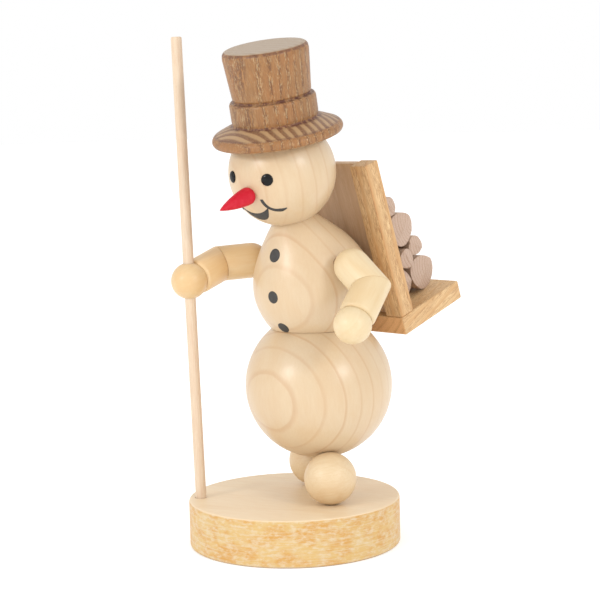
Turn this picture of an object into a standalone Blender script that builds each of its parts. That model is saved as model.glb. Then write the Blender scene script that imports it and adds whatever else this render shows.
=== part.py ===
"""Wooden snowman figure with a top hat, a staff and a back carrier full of logs.

Every turned, sawn or dowelled piece of the figure is one named object. Units are metres,
+Z is up and the snowman looks along -Y, so its left side is +X. The origin is the centre
of the base disc's underside.
"""
import math

import bmesh
import bpy
from mathutils import Matrix, Vector
from mathutils.geometry import interpolate_bezier

# General fits and shading
SHARP_ANGLE = math.radians(35.0)
GLUE_GAP = 0.0003
DOWEL_END_GAP = 0.0005
TENON_CLEARANCE = 0.00006
CUTTER_OVERRUN = 0.001
STICK_CHAMFER = 0.0002

# Base disc
BASE_RADIUS = 0.0247
BASE_HEIGHT = 0.0108
BASE_CHAMFER = 0.0005

# Snowman body: the figure is mirrored about the plane x = MIDDLE_X
MIDDLE_X = 0.0041
FOOT_RADIUS = 0.0060
LEFT_FOOT_XY = (0.0128, -0.0011)
RIGHT_FOOT_XY = (-0.0043, 0.0114)
BELLY_CENTRE = Vector((MIDDLE_X, 0.0049, 0.0370))
BELLY_RADIUS = 0.0171
WAIST_HEIGHT = 0.0504
TORSO_CENTRE = Vector((MIDDLE_X, 0.0037, 0.0606))
TORSO_RADIUS = 0.0139
TORSO_BOTTOM_REACH = 0.0150
TORSO_TOP_REACH = 0.01674
TORSO_SHOULDER_HEIGHT = 0.0066
TORSO_COLLAR_RADIUS = 0.0084
TORSO_COLLAR_HEIGHT = 0.0126
TORSO_NECK_SPARE = 0.001
TORSO_LOWER_STEPS = 12
TORSO_UPPER_STEPS = 14
TORSO_LEAN = math.radians(21.6)
NECK_RADIUS = 0.00485
NECK_LEAN = math.radians(15.8)
HEAD_CENTRE = Vector((MIDDLE_X, -0.0054, 0.0869))
HEAD_RADIUS = 0.0122
NECK_TO_HEAD_CENTRE = 0.0111

# Hat, measured up its own axis from the head's centre
HAT_LEAN_FORWARD = math.radians(13.2)
HAT_LEAN_LEFT = math.radians(3.1)
HAT_SHIFT_BACK = 0.0004
BRIM_UNDERSIDE = 0.0078
BRIM_EDGE_TOP = 0.0102
BRIM_RADIUS = 0.01486
BRIM_ROUNDING = 0.0006
BAND_BOTTOM = 0.0120
BAND_TOP = 0.0173
BAND_RADIUS = 0.0098
BAND_CHAMFER = 0.0005
CROWN_BOTTOM_RADIUS = 0.0089
CROWN_TOP = 0.0287
CROWN_TOP_RADIUS = 0.0098
CROWN_CHAMFER = 0.0004

# Face: bearings turn from straight ahead towards the snowman's left, pitches are upward
LEFT_EYE_BEARING = math.radians(28.8)
LEFT_EYE_PITCH = math.radians(-6.3)
RIGHT_EYE_BEARING = math.radians(-20.0)
RIGHT_EYE_PITCH = math.radians(-3.3)
EYE_RADIUS = 0.00135
EYE_DOME = 0.0005
EYE_SHANK_RADIUS = 0.0005
EYE_SHANK_LENGTH = 0.0035
EYE_STEPS = 5
NOSE_BEARING = math.radians(4.8)
NOSE_ROOT_PITCH = math.radians(-22.4)
NOSE_PITCH = math.radians(-16.0)
NOSE_RADIUS = 0.00195
NOSE_LENGTH = 0.0105
NOSE_TIP_RADIUS = 0.0004
NOSE_SWELL = ((0.00188, 0.0015), (0.00164, 0.0042), (0.00112, 0.0073))
NOSE_TENON_RADIUS = 0.0010
NOSE_TENON_LENGTH = 0.0040

# Arms: one bent pair of round sticks on each side, with a ball for the hand
ARM_RADIUS = 0.0041
HAND_RADIUS = 0.00425
FOREARM_END = 0.0026
LEFT_SHOULDER = Vector((0.0205, -0.0004, 0.0658))
LEFT_ELBOW = Vector((0.0262, -0.0009, 0.0616))
LEFT_HAND = Vector((0.0279, -0.0089, 0.0541))
RIGHT_SHOULDER = Vector((-0.0127, 0.0004, 0.0657))
RIGHT_ELBOW = Vector((-0.0176, -0.0052, 0.0652))

# Staff, through the right hand and into the base
STAFF_RADIUS = 0.00125
STAFF_FOOT = Vector((-0.0157, -0.0153, BASE_HEIGHT))
STAFF_TOP = Vector((-0.0179, -0.0165, 0.1179))
STAFF_DEPTH_IN_BASE = 0.0060
HAND_SHARE_OF_STAFF = 0.4777

# Back carrier: a shelf that tilts up to the back, two rails and a thin panel on it
SHELF_CORNER = Vector((0.0178, 0.0192, 0.0520))
SHELF_TILT = math.radians(18.4)
SHELF_DEPTH = 0.0219
SHELF_THICKNESS = 0.0045
RAIL_WIDTH = 0.0049
RAIL_DEPTH = 0.0044
RAIL_LENGTH = 0.0375
PANEL_THICKNESS = 0.0016
PANEL_SETBACK = 0.0019
EDGE_ROUNDING = 0.0003

# Logs: distance behind the carrier's front, height over the shelf, thick or thin
LOG_LENGTH = 0.0174
THICK_LOG_RADIUS = 0.0041
THIN_LOG_RADIUS = 0.0024
LOG_END_SLOPE = math.radians(15.0)
LOG_CHAMFER = 0.0001
FIRST_RIDGE_TURN = math.radians(107.0)
RIDGE_TURN_STEP = math.radians(37.0)
LOG_ROWS = (
    (0.0076, 0.0044, THICK_LOG_RADIUS, 0.0),
    (0.0161, 0.0044, THICK_LOG_RADIUS, 0.0004),
    (0.00595, 0.01085, THIN_LOG_RADIUS, 0.0),
    (0.0115, 0.0099, THIN_LOG_RADIUS, 0.0006),
    (0.0163, 0.0113, THIN_LOG_RADIUS, -0.0003),
    (0.00595, 0.01595, THIN_LOG_RADIUS, 0.0),
    (0.01255, 0.0169, THICK_LOG_RADIUS, 0.0003),
    (0.00595, 0.0211, THIN_LOG_RADIUS, 0.0),
    (0.0107, 0.0234, THIN_LOG_RADIUS, -0.0004),
)

# Hidden dowels: radius of the dowel and how far it reaches to either side of its joint
FOOT_PIN_RADIUS = 0.0010
FOOT_PIN_REACH = (0.0045, 0.0030)
LEG_DOWEL_RADIUS = 0.0015
LEG_DOWEL_REACH = (0.0036, 0.0070)
WAIST_DOWEL_RADIUS = 0.0030
WAIST_DOWEL_REACH = (0.0075, 0.0070)
NECK_DOWEL_RADIUS = 0.0020
NECK_DOWEL_REACH = (0.0060, 0.0060)
HAT_DOWEL_RADIUS = 0.0020
HAT_DOWEL_REACH = (0.0050, 0.0055)
SHOULDER_DOWEL_RADIUS = 0.0015
SHOULDER_DOWEL_REACH = (0.0050, 0.0042)
WRIST_DOWEL_RADIUS = 0.0012
WRIST_DOWEL_REACH = (0.0045, 0.0018)
CARRIER_DOWEL_RADIUS = 0.0020
CARRIER_DOWEL_REACH = (0.0060, 0.0013)
RAIL_PIN_RADIUS = 0.0010
RAIL_PIN_REACH = (0.0032, 0.0040)

# Facets around each size of turned piece
BALL_SEGMENTS = 36
BALL_RINGS = 18
SMALL_BALL_SEGMENTS = 22
SMALL_BALL_RINGS = 11
DISC_SEGMENTS = 52
STICK_SEGMENTS = 20
PIN_SEGMENTS = 10
# A cutter is turned a little about its axis so that its facets never line up with the piece's
CUTTER_TWIST = Matrix.Rotation(math.radians(7.3), 4, "Z")

UP = Vector((0.0, 0.0, 1.0))


def clear_scene():
    """Empty the scene before building."""
    for thing in list(bpy.data.objects):
        bpy.data.objects.remove(thing, do_unlink=True)


# Materials


def finish(name, colour, roughness, metallic=0.0):
    """A plain material with a colour, a roughness and a metallic value."""
    material = bpy.data.materials.new(name)
    material.use_nodes = True
    shader = material.node_tree.nodes["Principled BSDF"]
    shader.inputs["Base Color"].default_value = (*colour, 1.0)
    shader.inputs["Roughness"].default_value = roughness
    shader.inputs["Metallic"].default_value = metallic
    return material


def make_finishes():
    """The finishes of all pieces, by name."""
    return {
        "pale_wood": finish("pale_wood", (0.84, 0.66, 0.43), 0.42),
        "yellow_wood": finish("yellow_wood", (0.80, 0.57, 0.32), 0.50),
        "foot_wood": finish("foot_wood", (0.78, 0.62, 0.44), 0.60),
        "base_wood": finish("base_wood", (0.80, 0.64, 0.44), 0.50),
        "hat_wood": finish("hat_wood", (0.40, 0.22, 0.11), 0.55),
        "carrier_wood": finish("carrier_wood", (0.55, 0.31, 0.12), 0.55),
        "panel_wood": finish("panel_wood", (0.45, 0.29, 0.16), 0.60),
        "staff_wood": finish("staff_wood", (0.74, 0.55, 0.40), 0.55),
        "log_wood": finish("log_wood", (0.68, 0.50, 0.34), 0.70),
        "dowel_wood": finish("dowel_wood", (0.70, 0.52, 0.34), 0.65),
        "red_paint": finish("red_paint", (0.55, 0.03, 0.02), 0.35),
        "black_gloss": finish("black_gloss", (0.01, 0.01, 0.01), 0.12),
    }


# Shapes


def new_piece(name, mesh, material):
    """Put a mesh in the scene as a named piece, smooth except at real edges."""
    piece = bpy.data.objects.new(name, mesh)
    bpy.context.scene.collection.objects.link(piece)
    mesh.materials.clear()
    mesh.materials.append(material)
    shade(mesh)
    return piece


def shade(mesh):
    """Smooth shading over the facets of a round piece."""
    mesh.shade_smooth()
    mesh.set_sharp_from_angle(angle=SHARP_ANGLE)


def along(direction, origin=Vector((0.0, 0.0, 0.0))):
    """The placement that stands local +Z along a direction at an origin."""
    turn = direction.to_track_quat("Z", "Y").to_matrix().to_4x4()
    return Matrix.Translation(origin) @ turn


def turned_mesh(name, profile, segments, placement=Matrix.Identity(4)):
    """Revolve a profile of (radius, height), bottom to top, into one closed mesh."""
    shape = bmesh.new()
    rings = []
    for radius, height in profile:
        if radius < 1e-9:
            rings.append([shape.verts.new((0.0, 0.0, height))])
            continue
        ring = []
        for step in range(segments):
            angle = 2.0 * math.pi * step / segments
            ring.append(shape.verts.new((radius * math.cos(angle), radius * math.sin(angle), height)))
        rings.append(ring)
    for lower, upper in zip(rings, rings[1:]):
        join_rings(shape, lower, upper, segments)
    bmesh.ops.transform(shape, matrix=placement, verts=shape.verts)
    bmesh.ops.recalc_face_normals(shape, faces=shape.faces)
    return to_mesh(shape, name)


def join_rings(shape, lower, upper, segments):
    """Faces between two neighbouring rings, either of which may be a single point."""
    for step in range(segments):
        following = (step + 1) % segments
        if len(lower) == 1:
            shape.faces.new((lower[0], upper[following], upper[step]))
        elif len(upper) == 1:
            shape.faces.new((lower[step], lower[following], upper[0]))
        else:
            shape.faces.new((lower[step], lower[following], upper[following], upper[step]))


def to_mesh(shape, name):
    """Turn a bmesh into a mesh and free it."""
    mesh = bpy.data.meshes.new(name)
    shape.to_mesh(mesh)
    shape.free()
    return mesh


def ball_profile(radius, rings, bottom=None, top=None):
    """A ball's half outline, cut flat at a bottom and a top height where given."""
    low = -math.pi / 2.0 if bottom is None else math.asin(bottom / radius)
    high = math.pi / 2.0 if top is None else math.asin(top / radius)
    outline = [(0.0, radius * math.sin(low))]
    first = 1 if bottom is None else 0
    last = rings - 1 if top is None else rings
    for step in range(first, last + 1):
        angle = low + (high - low) * step / rings
        outline.append((radius * math.cos(angle), radius * math.sin(angle)))
    outline.append((0.0, radius * math.sin(high)))
    return outline


def ball(name, centre, radius, rings, segments, axis=UP, bottom=None, top=None):
    """A turned ball whose grain and flats follow an axis."""
    outline = ball_profile(radius, rings, bottom, top)
    return turned_mesh(name, outline, segments, along(axis, centre))


def cup_cutter(centre, radius, axis=UP):
    """A ball for cutting a cupped seat, a glue gap larger than the ball that sits in it."""
    outline = ball_profile(radius + GLUE_GAP, BALL_RINGS + 1)
    return turned_mesh("cup", outline, BALL_SEGMENTS - 3, along(axis, centre) @ CUTTER_TWIST)


def stick_profile(radius, low, high, chamfer):
    """A round stick's half outline with a small chamfer at both ends."""
    return [
        (0.0, low),
        (radius - chamfer, low),
        (radius, low + chamfer),
        (radius, high - chamfer),
        (radius - chamfer, high),
        (0.0, high),
    ]


def stick(name, start, end, radius, segments, chamfer=STICK_CHAMFER):
    """A round stick between two points."""
    length = (end - start).length
    return turned_mesh(name, stick_profile(radius, 0.0, length, chamfer), segments, along(end - start, start))


def box_mesh(name, low, high, placement, rounding):
    """A box between two local corners with lightly bevelled edges."""
    shape = bmesh.new()
    bmesh.ops.create_cube(shape, size=1.0)
    size = high - low
    middle = (high + low) / 2.0
    bmesh.ops.scale(shape, vec=size, verts=shape.verts)
    bmesh.ops.translate(shape, vec=middle, verts=shape.verts)
    bmesh.ops.bevel(shape, geom=shape.edges, offset=rounding, segments=1, affect="EDGES")
    bmesh.ops.transform(shape, matrix=placement, verts=shape.verts)
    bmesh.ops.recalc_face_normals(shape, faces=shape.faces)
    return to_mesh(shape, name)


def slice_off(mesh, point, normal):
    """Saw a closed mesh at a plane, keep the side behind the normal and close the cut."""
    shape = bmesh.new()
    shape.from_mesh(mesh)
    everything = shape.verts[:] + shape.edges[:] + shape.faces[:]
    bmesh.ops.bisect_plane(shape, geom=everything, plane_co=point, plane_no=normal, clear_outer=True, dist=1e-7)
    rim = [edge for edge in shape.edges if edge.is_boundary]
    bmesh.ops.contextual_create(shape, geom=rim)
    bmesh.ops.recalc_face_normals(shape, faces=shape.faces)
    shape.to_mesh(mesh)
    shape.free()
    shade(mesh)


def carve(piece, cutter_mesh):
    """Subtract a closed mesh from a piece and keep the result as the piece's own mesh."""
    cutter = bpy.data.objects.new("cutter", cutter_mesh)
    cutter.hide_render = True
    cutter.display_type = "WIRE"
    bpy.context.scene.collection.objects.link(cutter)
    cut = piece.modifiers.new("cut", "BOOLEAN")
    cut.operation = "DIFFERENCE"
    cut.solver = "EXACT"
    cut.object = cutter
    result = bpy.data.meshes.new_from_object(piece.evaluated_get(bpy.context.evaluated_depsgraph_get()))
    piece.modifiers.clear()
    piece.data = result
    shade(result)
    bpy.data.objects.remove(cutter, do_unlink=True)


def bore(piece, start, end, radius, segments=PIN_SEGMENTS):
    """Drill a round blind or through hole between two points."""
    length = (end - start).length
    outline = [(0.0, 0.0), (radius, 0.0), (radius, length), (0.0, length)]
    carve(piece, turned_mesh("drill", outline, segments, along(end - start, start) @ CUTTER_TWIST))


def doweled(name, joint, direction, radius, reach, before, after, material, segments=PIN_SEGMENTS):
    """A dowel across a glued joint, with a blind hole for it in the pieces on both sides."""
    back, forth = reach
    unit = direction.normalized()
    start = joint - unit * back
    end = joint + unit * forth
    hole = radius + GLUE_GAP
    if before is not None:
        bore(before, start - unit * DOWEL_END_GAP, joint + unit * GLUE_GAP, hole, segments)
    if after is not None:
        bore(after, joint - unit * 2.0 * GLUE_GAP, end + unit * DOWEL_END_GAP, hole, segments)
    return new_piece(name, stick(name, start, end, radius, segments), material)


def looking(bearing, pitch):
    """The direction at a bearing from straight ahead and a pitch above level."""
    return Vector((
        math.sin(bearing) * math.cos(pitch),
        -math.cos(bearing) * math.cos(pitch),
        math.sin(pitch),
    ))


def leaning(angle):
    """Straight up, leaned forward by an angle."""
    return Vector((0.0, -math.sin(angle), math.cos(angle)))


# Base, feet and belly


def make_base(finishes):
    """The round base disc with small chamfers."""
    outline = stick_profile(BASE_RADIUS, 0.0, BASE_HEIGHT, BASE_CHAMFER)
    return new_piece("base", turned_mesh("base", outline, DISC_SEGMENTS), finishes["base_wood"])


def make_belly(finishes):
    """The big belly ball, flat on top where the torso stands."""
    flat = WAIST_HEIGHT - BELLY_CENTRE.z
    mesh = ball("belly", BELLY_CENTRE, BELLY_RADIUS, BALL_RINGS, BALL_SEGMENTS, top=flat)
    return new_piece("belly", mesh, finishes["pale_wood"])


def make_foot(side, place, base, belly, finishes):
    """A foot ball, seated against the belly and pinned to the base and the belly."""
    centre = Vector((place[0], place[1], BASE_HEIGHT + FOOT_RADIUS))
    sole = GLUE_GAP - FOOT_RADIUS
    name = side + "_foot"
    mesh = ball(name, centre, FOOT_RADIUS, SMALL_BALL_RINGS, SMALL_BALL_SEGMENTS, bottom=sole)
    foot = new_piece(name, mesh, finishes["foot_wood"])
    carve(foot, cup_cutter(BELLY_CENTRE, BELLY_RADIUS))
    floor_point = Vector((centre.x, centre.y, BASE_HEIGHT))
    doweled(side + "_foot_pin", floor_point, UP, FOOT_PIN_RADIUS, FOOT_PIN_REACH, base, foot,
            finishes["dowel_wood"])
    towards_belly = (BELLY_CENTRE - centre).normalized()
    joint = BELLY_CENTRE - towards_belly * BELLY_RADIUS
    doweled(side + "_leg_dowel", joint, towards_belly, LEG_DOWEL_RADIUS, LEG_DOWEL_REACH, foot, belly,
            finishes["dowel_wood"])
    return foot


# Torso, neck and head


def torso_profile(grow=0.0):
    """The torso's half outline: an oval bottom that draws in to the neck like an egg."""
    outline = []
    radius = TORSO_RADIUS + grow
    for step in range(TORSO_LOWER_STEPS):
        angle = math.pi / 2.0 * (1.0 - step / TORSO_LOWER_STEPS)
        height = -(TORSO_BOTTOM_REACH + grow) * math.sin(angle)
        outline.append((radius * math.cos(angle) if step else 0.0, height))
    corners = (
        Vector((radius, 0.0, 0.0)),
        Vector((radius, TORSO_SHOULDER_HEIGHT, 0.0)),
        Vector((TORSO_COLLAR_RADIUS + grow, TORSO_COLLAR_HEIGHT, 0.0)),
        Vector((NECK_RADIUS + grow, TORSO_TOP_REACH, 0.0)),
    )
    for point in interpolate_bezier(*corners, TORSO_UPPER_STEPS):
        outline.append((point.x, point.y))
    outward = (corners[3] - corners[2]).normalized()
    tip = corners[3] + outward * TORSO_NECK_SPARE
    outline.append((tip.x, tip.y))
    outline.append((0.0, tip.y))
    return outline


def torso_mesh(name, grow=0.0, segments=BALL_SEGMENTS):
    """The whole turned egg, before its foot and neck are sawn flat."""
    return turned_mesh(name, torso_profile(grow), segments, along(leaning(TORSO_LEAN), TORSO_CENTRE))


def neck_point():
    """The middle of the joint between torso and head."""
    return HEAD_CENTRE - leaning(NECK_LEAN) * NECK_TO_HEAD_CENTRE


def make_torso(finishes):
    """The torso, sawn at the waist, at the neck and where the carrier's panel is glued on."""
    mesh = torso_mesh("torso")
    slice_off(mesh, Vector((0.0, 0.0, WAIST_HEIGHT + GLUE_GAP)), -UP)
    slice_off(mesh, neck_point() - leaning(NECK_LEAN) * GLUE_GAP, leaning(NECK_LEAN))
    slice_off(mesh, panel_front() - carrier_back() * GLUE_GAP, carrier_back())
    return new_piece("torso", mesh, finishes["pale_wood"])


def make_head(finishes):
    """The head ball, flat under the chin where the neck joint is."""
    mesh = ball("head", HEAD_CENTRE, HEAD_RADIUS, BALL_RINGS, BALL_SEGMENTS,
                axis=leaning(NECK_LEAN), bottom=-NECK_TO_HEAD_CENTRE)
    return new_piece("head", mesh, finishes["pale_wood"])


# Face


def make_eye(side, bearing, pitch, head, finishes):
    """A black domed pin head with its shank in the head."""
    outward = looking(bearing, pitch)
    surface = HEAD_CENTRE + outward * (HEAD_RADIUS + GLUE_GAP)
    outline = [(0.0, -EYE_SHANK_LENGTH), (EYE_SHANK_RADIUS, -EYE_SHANK_LENGTH), (EYE_SHANK_RADIUS, 0.0)]
    for step in range(EYE_STEPS):
        angle = math.pi / 2.0 * step / EYE_STEPS
        outline.append((EYE_RADIUS * math.cos(angle), EYE_DOME * math.sin(angle)))
    outline.append((0.0, EYE_DOME))
    bore(head, surface - outward * (EYE_SHANK_LENGTH + DOWEL_END_GAP), surface + outward * GLUE_GAP,
         EYE_SHANK_RADIUS + GLUE_GAP)
    mesh = turned_mesh(side + "_eye", outline, PIN_SEGMENTS, along(outward, surface))
    return new_piece(side + "_eye", mesh, finishes["black_gloss"])


def nose_frame():
    """Where the nose leaves the head, and the way it points."""
    root = HEAD_CENTRE + looking(NOSE_BEARING, NOSE_ROOT_PITCH) * HEAD_RADIUS
    return root, looking(NOSE_BEARING, NOSE_PITCH)


def make_nose(head, finishes):
    """The carrot nose: a slim, slightly swelling cone with a blunt tip and a tenon in the head."""
    root, forward = nose_frame()
    outline = [
        (0.0, -NOSE_TENON_LENGTH),
        (NOSE_TENON_RADIUS, -NOSE_TENON_LENGTH),
        (NOSE_TENON_RADIUS, 0.0),
        (NOSE_RADIUS, 0.0),
        *NOSE_SWELL,
        (NOSE_TIP_RADIUS, NOSE_LENGTH - NOSE_TIP_RADIUS / 2.0),
        (0.0, NOSE_LENGTH),
    ]
    bore(head, root - forward * (NOSE_TENON_LENGTH + DOWEL_END_GAP), root + forward * NOSE_TENON_RADIUS * 2,
         NOSE_TENON_RADIUS + GLUE_GAP)
    mesh = turned_mesh("nose", outline, STICK_SEGMENTS, along(forward, root))
    nose = new_piece("nose", mesh, finishes["red_paint"])
    carve(nose, cup_around_tenon(root, forward))
    return nose


def cup_around_tenon(root, forward):
    """The cutter that cups the nose's root to the head ball but spares its tenon."""
    block = bpy.data.objects.new("cup_block", cup_cutter(HEAD_CENTRE, HEAD_RADIUS))
    bpy.context.scene.collection.objects.link(block)
    bore(block, root - forward * NOSE_TENON_LENGTH * 2.0, root + forward * NOSE_TENON_LENGTH,
         NOSE_TENON_RADIUS + TENON_CLEARANCE, STICK_SEGMENTS)
    mesh = block.data
    bpy.data.objects.remove(block, do_unlink=True)
    return mesh


# Hat


def hat_axis():
    """The way the hat's crown points."""
    return Vector((
        math.sin(HAT_LEAN_LEFT),
        -math.sin(HAT_LEAN_FORWARD) * math.cos(HAT_LEAN_LEFT),
        math.cos(HAT_LEAN_FORWARD) * math.cos(HAT_LEAN_LEFT),
    ))


def hat_origin():
    """The point on the hat's axis beside the head's centre."""
    return HEAD_CENTRE + Vector((0.0, HAT_SHIFT_BACK, 0.0))


def hat_profile():
    """The hat's half outline: flat underside, sloping brim, raised band, flared crown."""
    return [
        (0.0, BRIM_UNDERSIDE),
        (BRIM_RADIUS - BRIM_ROUNDING, BRIM_UNDERSIDE),
        (BRIM_RADIUS, BRIM_UNDERSIDE + BRIM_ROUNDING),
        (BRIM_RADIUS, BRIM_EDGE_TOP - BRIM_ROUNDING),
        (BRIM_RADIUS - BRIM_ROUNDING, BRIM_EDGE_TOP),
        (BAND_RADIUS, BAND_BOTTOM),
        (BAND_RADIUS, BAND_TOP - BAND_CHAMFER),
        (BAND_RADIUS - BAND_CHAMFER, BAND_TOP),
        (CROWN_BOTTOM_RADIUS, BAND_TOP),
        (CROWN_TOP_RADIUS, CROWN_TOP - CROWN_CHAMFER),
        (CROWN_TOP_RADIUS - CROWN_CHAMFER, CROWN_TOP),
        (0.0, CROWN_TOP),
    ]


def make_hat(head, finishes):
    """The turned hat, cupped over the head and doweled to it."""
    mesh = turned_mesh("hat", hat_profile(), DISC_SEGMENTS, along(hat_axis(), hat_origin()))
    hat = new_piece("hat", mesh, finishes["hat_wood"])
    carve(hat, cup_cutter(HEAD_CENTRE, HEAD_RADIUS))
    joint = HEAD_CENTRE + hat_axis() * HEAD_RADIUS
    doweled("hat_dowel", joint, hat_axis(), HAT_DOWEL_RADIUS, HAT_DOWEL_REACH, head, hat,
            finishes["dowel_wood"])
    return hat


# Arms and staff


def right_hand_centre():
    """The right hand holds the staff at its share of the staff's length."""
    return STAFF_FOOT.lerp(STAFF_TOP, HAND_SHARE_OF_STAFF)


def mitre_normal(shoulder, elbow, hand):
    """The direction square to the mitred cut at the elbow."""
    return ((elbow - shoulder).normalized() + (hand - elbow).normalized()).normalized()


def make_upper_arm(side, shoulder, elbow, hand, finishes):
    """The upper arm: a round shoulder end, a shaped seat on the torso and a mitred elbow."""
    way = (elbow - shoulder).normalized()
    length = (elbow - shoulder).length + ARM_RADIUS * 2.0
    outline = [(0.0, -ARM_RADIUS)]
    for step in range(1, 7):
        angle = math.pi / 2.0 * (1.0 - step / 6.0)
        outline.append((ARM_RADIUS * math.cos(angle), -ARM_RADIUS * math.sin(angle)))
    outline.append((ARM_RADIUS, length))
    outline.append((0.0, length))
    name = side + "_upper_arm"
    mesh = turned_mesh(name, outline, STICK_SEGMENTS, along(way, shoulder))
    normal = mitre_normal(shoulder, elbow, hand)
    slice_off(mesh, elbow - normal * GLUE_GAP / 2.0, normal)
    arm = new_piece(name, mesh, finishes["yellow_wood"])
    carve(arm, torso_mesh("seat", GLUE_GAP, BALL_SEGMENTS + 5))
    return arm


def make_forearm(side, shoulder, elbow, hand, finishes):
    """The forearm: mitred at the elbow and cupped at the wrist for the hand's ball."""
    way = (hand - elbow).normalized()
    end = hand - way * FOREARM_END
    start = elbow - way * ARM_RADIUS * 2.0
    name = side + "_forearm"
    mesh = stick(name, start, end, ARM_RADIUS, STICK_SEGMENTS)
    normal = mitre_normal(shoulder, elbow, hand)
    slice_off(mesh, elbow + normal * GLUE_GAP / 2.0, -normal)
    forearm = new_piece(name, mesh, finishes["yellow_wood"])
    carve(forearm, cup_cutter(hand, HAND_RADIUS, way))
    return forearm


def make_arm(side, shoulder, elbow, hand_centre, torso, finishes):
    """One whole arm with its shoulder and wrist dowels; gives back the hand."""
    upper = make_upper_arm(side, shoulder, elbow, hand_centre, finishes)
    forearm = make_forearm(side, shoulder, elbow, hand_centre, finishes)
    way = (hand_centre - elbow).normalized()
    mesh = ball(side + "_hand", hand_centre, HAND_RADIUS, SMALL_BALL_RINGS, SMALL_BALL_SEGMENTS, axis=way)
    hand = new_piece(side + "_hand", mesh, finishes["yellow_wood"])
    inward = (TORSO_CENTRE + leaning(TORSO_LEAN) * (shoulder - TORSO_CENTRE).dot(leaning(TORSO_LEAN)) - shoulder)
    joint = shoulder + inward.normalized() * (ARM_RADIUS - GLUE_GAP)
    doweled(side + "_shoulder_dowel", joint, -inward, SHOULDER_DOWEL_RADIUS, SHOULDER_DOWEL_REACH, torso,
            upper, finishes["dowel_wood"])
    wrist = hand_centre - way * HAND_RADIUS
    doweled(side + "_wrist_dowel", wrist, way, WRIST_DOWEL_RADIUS, WRIST_DOWEL_REACH, forearm, hand,
            finishes["dowel_wood"])
    return hand


def make_staff(base, right_hand, finishes):
    """The straight staff, through the right hand and into a hole in the base."""
    way = (STAFF_TOP - STAFF_FOOT).normalized()
    foot = STAFF_FOOT - way * STAFF_DEPTH_IN_BASE
    hole = STAFF_RADIUS + GLUE_GAP
    bore(base, foot - way * DOWEL_END_GAP, STAFF_FOOT + way * CUTTER_OVERRUN, hole, STICK_SEGMENTS)
    grip = right_hand_centre()
    reach = way * (HAND_RADIUS + CUTTER_OVERRUN)
    bore(right_hand, grip - reach, grip + reach, hole, STICK_SEGMENTS)
    return new_piece("staff", stick("staff", foot, STAFF_TOP, STAFF_RADIUS, STICK_SEGMENTS),
                     finishes["staff_wood"])


# Carrier and logs


def carrier_back():
    """The shelf's direction from the snowman's back to the rear."""
    return Vector((0.0, math.cos(SHELF_TILT), math.sin(SHELF_TILT)))


def carrier_up():
    """The rails' direction, square to the shelf."""
    return Vector((0.0, -math.sin(SHELF_TILT), math.cos(SHELF_TILT)))


def carrier_width():
    """The shelf is as far to the right of the middle plane as to the left."""
    return 2.0 * (SHELF_CORNER.x - MIDDLE_X)


def carrier_placement():
    """A frame at the shelf's upper front left corner: X left, Y back, Z up the rails."""
    turn = Matrix.Rotation(SHELF_TILT, 4, "X")
    return Matrix.Translation(SHELF_CORNER) @ turn


def panel_front():
    """A point on the panel's front face."""
    return SHELF_CORNER + carrier_back() * PANEL_SETBACK


def make_carrier(torso, finishes):
    """The shelf, both rails, the panel between them and the dowels that hold them."""
    place = carrier_placement()
    width = carrier_width()
    shelf_mesh = box_mesh("shelf", Vector((-width, 0.0, -SHELF_THICKNESS)), Vector((0.0, SHELF_DEPTH, 0.0)),
                          place, EDGE_ROUNDING)
    shelf = new_piece("shelf", shelf_mesh, finishes["carrier_wood"])
    for side, left_edge in (("left", 0.0), ("right", RAIL_WIDTH - width)):
        low = Vector((left_edge - RAIL_WIDTH, 0.0, GLUE_GAP))
        high = Vector((left_edge, RAIL_DEPTH, RAIL_LENGTH))
        rail_mesh = box_mesh(side + "_rail", low, high, place, EDGE_ROUNDING)
        rail = new_piece(side + "_rail", rail_mesh, finishes["carrier_wood"])
        joint = place @ Vector((left_edge - RAIL_WIDTH / 2.0, RAIL_DEPTH / 2.0, 0.0))
        doweled(side + "_rail_pin", joint, carrier_up(), RAIL_PIN_RADIUS, RAIL_PIN_REACH, shelf, rail,
                finishes["dowel_wood"])
    low = Vector((RAIL_WIDTH + GLUE_GAP - width, PANEL_SETBACK, GLUE_GAP))
    high = Vector((-RAIL_WIDTH - GLUE_GAP, PANEL_SETBACK + PANEL_THICKNESS, RAIL_LENGTH))
    panel_mesh = box_mesh("carrier_panel", low, high, place, EDGE_ROUNDING / 2.0)
    panel = new_piece("carrier_panel", panel_mesh, finishes["panel_wood"])
    middle = TORSO_CENTRE + carrier_back() * (panel_front() - TORSO_CENTRE).dot(carrier_back())
    doweled("carrier_dowel", middle, carrier_back(), CARRIER_DOWEL_RADIUS, CARRIER_DOWEL_REACH, torso, None,
            finishes["dowel_wood"])
    hole_start = middle - carrier_back() * CUTTER_OVERRUN
    hole_end = middle + carrier_back() * (PANEL_THICKNESS + CUTTER_OVERRUN)
    bore(panel, hole_start, hole_end, CARRIER_DOWEL_RADIUS + GLUE_GAP)
    return shelf


def make_log(number, back, height, radius, shift, finishes):
    """One split-off log along X, each end nipped to a blunt ridge."""
    name = "log_{:02d}".format(number)
    place = carrier_placement()
    middle = place @ Vector((-carrier_width() / 2.0 + shift, back, height))
    half = Vector((LOG_LENGTH / 2.0, 0.0, 0.0))
    mesh = stick(name, middle - half, middle + half, radius, SMALL_BALL_SEGMENTS, chamfer=LOG_CHAMFER)
    ridge_turn = FIRST_RIDGE_TURN + RIDGE_TURN_STEP * (number - 1)
    for end in (-1.0, 1.0):
        for side in (-1.0, 1.0):
            across = Vector((0.0, math.cos(ridge_turn), math.sin(ridge_turn))) * side
            normal = Vector((end, 0.0, 0.0)) * math.cos(LOG_END_SLOPE) + across * math.sin(LOG_END_SLOPE)
            slice_off(mesh, middle + half * end, normal)
    return new_piece(name, mesh, finishes["log_wood"])


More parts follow.
